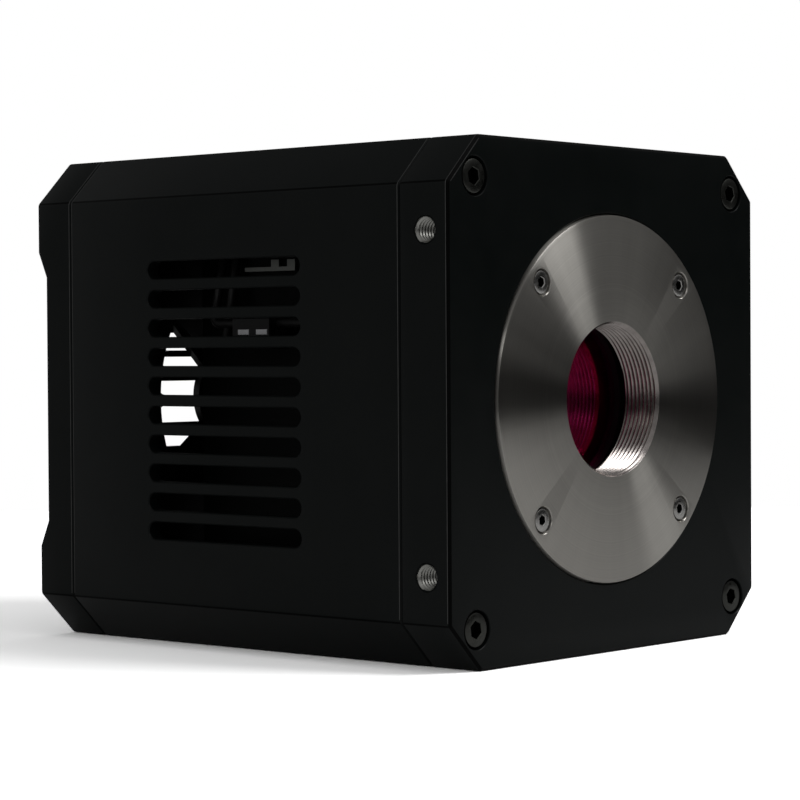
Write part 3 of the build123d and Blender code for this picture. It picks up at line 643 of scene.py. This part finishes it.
# ---------------------------------------------------------------- side thread inserts
def thread_inserts():
    """Four threaded sleeves, two in each side of the housing."""
    around, rows, pitch = 64, 6, 0.7 * MM
    profile = (0.0, 0.0, 0.5, 1.0, 1.0, 0.5)
    inner, thread_depth, length = 1.65 * MM, 0.38 * MM, 7.5 * MM
    sunk = 0.1 * MM
    bm = bmesh.new()
    for side in (-1, 1):
        for height in (-insert_z, insert_z):
            turns = int(length / pitch) + 3

            def point(angle, radius, depth):
                return (side * (half_body - sunk - depth), insert_y + radius * cos(angle),
                        height + radius * sin(angle))

            columns = []
            for step in range(around + 1):
                angle = 2 * pi * step / around
                column = []
                for row in range(turns * rows):
                    depth = min(max(pitch * (row / rows + step / around - 1.5), 0.0), length)
                    radius = inner + thread_depth * profile[row % rows]
                    radius = max(radius, inner + thread_depth + 0.05 * MM - depth)
                    if depth >= length:
                        radius = inner
                    column.append(bm.verts.new(point(angle, radius, depth)))
                columns.append(column)
            for left, right in zip(columns, columns[1:]):
                for row in range(turns * rows - 1):
                    bm.faces.new((left[row], left[row + 1], right[row + 1], right[row]))
            mouth = inner + thread_depth + 0.05 * MM
            outline = ((mouth, 0.0), (insert_radius - 0.08 * MM, 0.0), (insert_radius, 0.08 * MM),
                       (insert_radius, length), (inner, length))
            angles = [2 * pi * i / around for i in range(around)]
            add_stack(bm, [[point(angle, r, d) for angle in angles] for r, d in outline],
                      cap_start=False, cap_end=False)
    return new_object("side_thread_inserts_m4", bm)


inserts = place(thread_inserts(), insert_steel, "bright_insert", "side_thread_inserts")
inserts.data.materials.append(black_metal)
for face in inserts.data.polygons:
    if abs(face.center.x) > half_body - 0.15 * MM:
        face.material_index = 1


# ---------------------------------------------------------------- shells
def shell_block(name, y_front, y_rear, front_bevel, rear_bevel):
    """Solid octagonal block whose end edges have a bevel with a narrow strip on each side, where an edge
    highlight is painted.
    """
    bm = bmesh.new()
    loops = []
    for y, inset in ((y_front, front_bevel + strip_width), (y_front + 0.2 * strip_width, front_bevel),
                     (y_front + front_bevel, 0.2 * strip_width),
                     (y_front + front_bevel + strip_width, 0.0),
                     (y_rear - rear_bevel - strip_width, 0.0),
                     (y_rear - rear_bevel, 0.2 * strip_width),
                     (y_rear - 0.2 * strip_width, rear_bevel), (y_rear, rear_bevel + strip_width)):
        loops.append(at_y(body_outline(half_body, corner_cut, edge_radius, inset), y))
    add_stack(bm, loops)
    return new_object(name, bm)


def add_cavity(bm, y_front, y_rear):
    """Cutter for the space inside the shells, with their corner posts left standing."""
    inside = body_outline(half_body - wall, post_cut, edge_radius)
    add_stack(bm, [at_y(inside, y_front), at_y(inside, y_rear)])


def add_head_hole(bm, x, z, face, floor_depth, direction, through=14 * MM):
    """Counterbored screw hole that opens at y = face and goes in along direction."""
    add_round_cutter(bm, (x, face, z), (0, direction, 0),
                     ((-1.2 * MM, head_hole_radius + 1.3 * MM), (0.12 * MM, head_hole_radius),
                      (floor_depth, head_hole_radius), (floor_depth, screw_hole_radius),
                      (through, screw_hole_radius)))


def paint_edge_light_and_shade(shell, y_front, y_rear, bevels, strips):
    """Paints shade on a shell's wide bevels and on facets of its long corners, and a highlight on the
    strips by its bevels.

    bevels holds the bevel's width at the front and rear end, strips says which of the two ends has
    a highlighted strip. The highlight is painted on the upper part only, where the light falls from
    above.
    """
    shell.data.materials.append(edge_highlight_metal)
    shell.data.materials.append(painted_shade_black)
    painted_highlight_index, painted_shade_index = 1, 2
    for face in shell.data.polygons:
        from_front, from_rear = face.center.y - y_front, y_rear - face.center.y
        end = 0 if from_front < from_rear else 1
        depth, bevel = (from_front, from_rear)[end], bevels[end]
        has_strip = strips[end] and face.center.z > -0.5 * half_body
        x, z = abs(face.center.x), abs(face.center.z)
        beyond_cut = x + z + corner_cut - half_body
        if max(x, z, beyond_cut) < half_body - 1.5 * (bevel + strip_width):
            continue
        on_cut = beyond_cut > max(x, z) + 0.2 * MM
        facing = abs(face.normal.y)
        lean = abs(degrees(atan2(abs(face.normal.z), abs(face.normal.x))) - 45)
        # painted highlight on the strips and on the front-facing bevel of the corner cuts; painted shade
        # in the wide bevels
        if has_strip and on_cut and facing > 0.8 and 0 < depth < bevel:
            face.material_index = painted_highlight_index
        elif 0.2 * strip_width < depth < bevel and bevel > seam_bevel:
            face.material_index = painted_shade_index
        elif has_strip and bevel < depth < bevel + strip_width:
            face.material_index = painted_highlight_index
        # painted shade on facets of the rounded long corners
        elif facing < 0.3 and 6 < lean < 28:
            face.material_index = painted_shade_index


housing = shell_block("front_housing_shell", housing_front, casing_front, front_bevel, seam_bevel)
cutters = bmesh.new()
pocket_radius = flange_radius + pocket_gap
add_round_cutter(cutters, (0, 0, 0), (0, 1, 0),
                 ((housing_front - 1 * MM, pocket_radius + 1.15 * MM),
                  (housing_front + 0.15 * MM, pocket_radius),
                  (mount_face + flange_thickness, pocket_radius),
                  (mount_face + flange_thickness, spigot_radius + 0.15 * MM),
                  (casing_front + 1 * MM, spigot_radius + 0.15 * MM)), count=192)
for x, z in four_places(corner_screw, corner_screw):
    add_head_hole(cutters, x, z, housing_front, corner_head_depth, 1)
for x, z in four_places(flange_screw, flange_screw):
    add_round_cutter(cutters, (x, mount_face + flange_thickness, z), (0, 1, 0),
                     ((-0.5 * MM, 1.0 * MM), (4.5 * MM, 1.0 * MM)), count=24)
for x, z in four_places(sink_screw_x, sink_screw_z):
    add_round_cutter(cutters, (x, casing_front, z), (0, -1, 0),
                     ((-0.5 * MM, 1.5 * MM), (6 * MM, 1.5 * MM)), count=24)
for side in (-1, 1):
    for z in (-insert_z, insert_z):
        add_round_cutter(cutters, (side * half_body, insert_y, z), (-side, 0, 0),
                         ((-1 * MM, insert_radius + 1.2 * MM), (0.1 * MM, insert_radius + 0.02 * MM),
                          (8.1 * MM, insert_radius + 0.02 * MM)))
cut(housing, cutters)
resharpen(housing)
place(housing, black_metal, "anodised_shell", "front_housing")
paint_edge_light_and_shade(housing, housing_front, casing_front, (front_bevel, seam_bevel), (True, False))

casing = shell_block("main_casing_shell", casing_front, cover_front, seam_bevel, seam_bevel)
cutters = bmesh.new()
add_cavity(cutters, casing_front - 1 * MM, cover_front + 1 * MM)
cut(casing, cutters)
cutters = bmesh.new()
for side in (-1, 1):
    for row in range(vent_count):
        z = (row - (vent_count - 1) / 2) * vent_pitch
        loops = []
        for depth, grow in ((-1.0 * MM, 1.2 * MM), (0.2 * MM, 0.0), (wall + 1 * MM, 0.0)):
            outline = stadium(vent_length, vent_height, grow)
            loops.append([(side * (half_body - depth), vent_centre_y + a, z + b) for a, b in outline])
        add_stack(cutters, loops)
for x, z in four_places(corner_screw, corner_screw):
    for y, direction in ((casing_front, 1), (cover_front, -1)):
        add_round_cutter(cutters, (x, y, z), (0, direction, 0),
                         ((-0.5 * MM, 1.5 * MM), (13.5 * MM, 1.5 * MM)), count=24)
cut(casing, cutters)
resharpen(casing)
place(casing, black_metal, "anodised_shell", "main_casing")
paint_edge_light_and_shade(casing, casing_front, cover_front, (seam_bevel, seam_bevel), (True, True))

cover = shell_block("rear_cover_shell", cover_front, pad_face, seam_bevel, front_bevel)
cutters = bmesh.new()
add_cavity(cutters, cover_front - 1 * MM, recess_face - wall)
cut(cover, cutters)
above = 1 * MM
slope_edge = pad_edge + above * (pad_edge - recess_half) / (pad_face - recess_face)
channel = ((recess_half, recess_face), (slope_edge, pad_face + above),
           (-slope_edge, pad_face + above), (-recess_half, recess_face))
for upright in (False, True):
    cutters = bmesh.new()
    loops = []
    for end in (-half_body - above, half_body + above):
        loops.append([(a, y, end) if upright else (end, y, a) for a, y in channel])
    add_stack(cutters, loops)
    cut(cover, cutters)
cutters = bmesh.new()
for row in range(grille_count):
    z = grille_offset + (row - (grille_count - 1) / 2) * grille_pitch
    length = 2 * sqrt(grille_radius**2 - (abs(z) + grille_height / 2)**2)
    loops = []
    for y, grow in ((recess_face + 1.0 * MM, 1.2 * MM), (recess_face - 0.2 * MM, 0.0),
                    (recess_face - wall - 1 * MM, 0.0)):
        loops.append(at_y(stadium(length, grille_height, grow), y, 0, z))
    add_stack(cutters, loops)
for node, gap in (("power_socket", None), ("usb_socket", 0.2 * MM), ("status_light", None)):
    low, high = (Vector(c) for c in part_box(node))
    centre_x = (low.x + high.x) / 2
    if node == "usb_socket":
        outline = stadium(high.x - low.x + 2 * gap, high.z - low.z + 2 * gap)
        centre_z = (low.z + high.z) / 2
    elif node == "power_socket":
        outline, centre_z = circle(3.5 * MM), 35.4 * MM
    else:
        outline, centre_z = circle(1.4 * MM, 32), 34.2 * MM
    add_stack(cutters, [at_y(outline, recess_face + above, centre_x, centre_z),
                        at_y(outline, recess_face - wall - above, centre_x, centre_z)])
for x, z in four_places(fan_screw, fan_screw):
    add_round_cutter(cutters, (x, pad_face, z), (0, -1, 0),
                     ((-1 * MM, head_hole_radius), (pad_face - fan_head_floor, head_hole_radius),
                      (pad_face - fan_head_floor, screw_hole_radius), (8 * MM, screw_hole_radius)))
for x, z in four_places(corner_screw, corner_screw):
    add_head_hole(cutters, x, z, pad_face, corner_head_depth, -1)
cut(cover, cutters)
resharpen(cover)
place(cover, black_metal, "anodised_shell", "rear_cover")
paint_edge_light_and_shade(cover, cover_front, pad_face, (seam_bevel, front_bevel), (True, True))


# ---------------------------------------------------------------- coating on the window
def window_coating():
    """Thin disc just in front of the window."""
    low, high = (Vector(c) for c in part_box("optical_window"))
    radius = high.x - 0.2 * MM
    front = low.y - 0.03 * MM
    bm = bmesh.new()
    loops = [at_y(circle(r, 128), y) for r, y in ((0.05 * MM, front), (radius, front),
                                                 (radius + 0.02 * MM, front + 0.02 * MM),
                                                 (0.05 * MM, front + 0.02 * MM))]
    add_stack(bm, loops)
    return new_object("window_coating", bm)


place(window_coating(), magenta_coating, "coated_glass")


# ---------------------------------------------------------------- contacts in the cooler plug
def plug_contacts():
    """Two spring contacts that show in windows of the plug's outer side."""
    low, high = (Vector(c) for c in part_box("lead_plug"))
    bm = bmesh.new()
    for start in (0.4 * MM, 4.6 * MM):
        loops = []
        for reach, shrink in ((-0.12 * MM, 0.08 * MM), (-0.04 * MM, 0.0), (0.3 * MM, 0.0)):
            x = low.x + reach
            y0, y1 = low.y + start + shrink, low.y + start + 2.6 * MM - shrink
            z0, z1 = low.z + 2.3 * MM + shrink, low.z + 3.3 * MM - shrink
            loops.append([(x, y0, z0), (x, y1, z0), (x, y1, z1), (x, y0, z1)])
        add_stack(bm, loops)
    return new_object("lead_plug_contacts", bm)


place(plug_contacts(), can_metal, "capacitor_metal")


# ---------------------------------------------------------------- camera, floor and light
camera_place = Vector((-354.24, -261.14, 8.63)) * MM
camera_heading, camera_pitch, camera_roll = radians(41.02), radians(-1.118), radians(-0.347)
camera_lens = 119.16

camera_data = bpy.data.cameras.new("camera")
camera_data.lens = camera_lens
camera_data.sensor_width = 36
camera_data.clip_start = 0.01
camera = bpy.data.objects.new("camera", camera_data)
bpy.context.scene.collection.objects.link(camera)
view_direction = Vector((cos(camera_heading) * cos(camera_pitch),
                         sin(camera_heading) * cos(camera_pitch), sin(camera_pitch)))
camera.location = camera_place
camera.rotation_mode = "QUATERNION"
camera.rotation_quaternion = (view_direction.to_track_quat("-Z", "Y")
                              @ Quaternion((0, 0, 1), camera_roll))
bpy.context.scene.camera = camera


floor_gain = 5.0            # the camera sees the softly lit floor as white


def floor_material():
    """Matte pale floor, seen by the camera at the exposure of the white background."""
    n = Nodes("pale_floor")
    clouds = n.noise(n.position(), 3, 3)
    pale = n.ramp(clouds, ((0.3, (0.83, 0.83, 0.83)), (0.7, (0.86, 0.86, 0.86))))
    gain = n.range(n.add("ShaderNodeLightPath").outputs["Is Camera Ray"], 1.0, floor_gain, 0.0, 1.0)
    bright = n.add("ShaderNodeVectorMath", operation="SCALE")
    n.link(pale, bright.inputs["Vector"])
    n.link(gain, bright.inputs["Scale"])
    matte = n.add("ShaderNodeBsdfDiffuse")
    n.link(bright.outputs["Vector"], matte.inputs["Color"])
    n.link(matte.outputs["BSDF"], n.tree.nodes["Material Output"].inputs["Surface"])
    return n.material


floor_radius = 0.38
floor_centre = (0, 0.05, housing_low.z - 0.05 * MM)
bm = bmesh.new()
bmesh.ops.create_circle(bm, cap_ends=True, segments=128, radius=floor_radius,
                        matrix=Matrix.Translation(floor_centre))
floor_disc = new_object("floor", bm)
floor_disc.data.materials.append(floor_material())
floor_disc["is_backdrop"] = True


def studio_world():
    """Pale all round for the camera; for light and reflections a soft bright top over a dark horizon."""
    world = bpy.data.worlds.new("studio")
    world.use_nodes = True
    tree = world.node_tree

    def add(kind, **values):
        node = tree.nodes.new(kind)
        for key, value in values.items():
            setattr(node, key, value)
        return node

    def mapped(source, *limits):
        """Map Range node; limits are From Min, From Max, To Min and To Max."""
        node = add("ShaderNodeMapRange")
        for socket, value in zip(("From Min", "From Max", "To Min", "To Max"), limits):
            node.inputs[socket].default_value = value
        tree.links.new(source, node.inputs["Value"])
        return node.outputs["Result"]

    def combined(kind, operation, output, first, second):
        node = add(kind, operation=operation)
        tree.links.new(first, node.inputs[0])
        tree.links.new(second, node.inputs["Scale"] if operation == "SCALE" else node.inputs[1])
        return node.outputs[output]

    parts = add("ShaderNodeSeparateXYZ")
    tree.links.new(add("ShaderNodeTexCoord").outputs["Generated"], parts.inputs["Vector"])
    east, north, height = (parts.outputs[axis] for axis in "XYZ")

    ramp = add("ShaderNodeValToRGB")
    stops = ((0.0, 0.005), (0.21, 0.01), (0.29, 0.14), (0.5, 0.20), (1.0, 0.26))
    elements = ramp.color_ramp.elements
    while len(elements) < len(stops):
        elements.new(0.5)
    for element, (position, value) in zip(elements, stops):
        element.position = position
        element.color = (value, value, value, 1)
    tree.links.new(height, ramp.inputs["Fac"])
    sky = combined("ShaderNodeVectorMath", "SCALE", "Vector", ramp.outputs["Color"],
                   mapped(north, -0.2, 0.6, 1.0, 0.4))

    left_card = combined("ShaderNodeMath", "MULTIPLY", "Value", mapped(east, -0.35, -0.8, 0.0, 0.16),
                         mapped(north, -0.2, 0.3, 0.75, 1.3))
    cards = combined("ShaderNodeMath", "ADD", "Value", left_card, mapped(north, 0.80, 0.95, 0.0, 0.3))
    light = combined("ShaderNodeVectorMath", "ADD", "Vector", sky, cards)

    mix = add("ShaderNodeMix", data_type="RGBA")
    tree.links.new(add("ShaderNodeLightPath").outputs["Is Camera Ray"], mix.inputs["Factor"])
    tree.links.new(light, mix.inputs["A"])
    mix.inputs["B"].default_value = (1.0, 1.0, 1.0, 1.0)
    background = tree.nodes["Background"]
    tree.links.new(mix.outputs["Result"], background.inputs["Color"])
    background.inputs["Strength"].default_value = 1.0
    bpy.context.scene.world = world


studio_world()


def softbox(name, location, target, size, power):
    """Rectangular area light that faces target."""
    data = bpy.data.lights.new(name, "AREA")
    data.shape = "RECTANGLE"
    data.size, data.size_y = size
    data.energy = power
    light = bpy.data.objects.new(name, data)
    light.location = location
    direction = Vector(target) - Vector(location)
    light.rotation_euler = direction.to_track_quat("-Z", "Y").to_euler()
    bpy.context.scene.collection.objects.link(light)


softbox("softbox_top_front", (0.33, -0.57, 0.72), (0, 0, 0), (0.46, 0.3), 2.4)
softbox("softbox_left", (-0.75, -0.20, 0.45), (-0.04, 0.05, 0), (0.2, 0.2), 0.2)

bpy.context.scene.view_settings.view_transform = "Standard"

low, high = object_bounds()
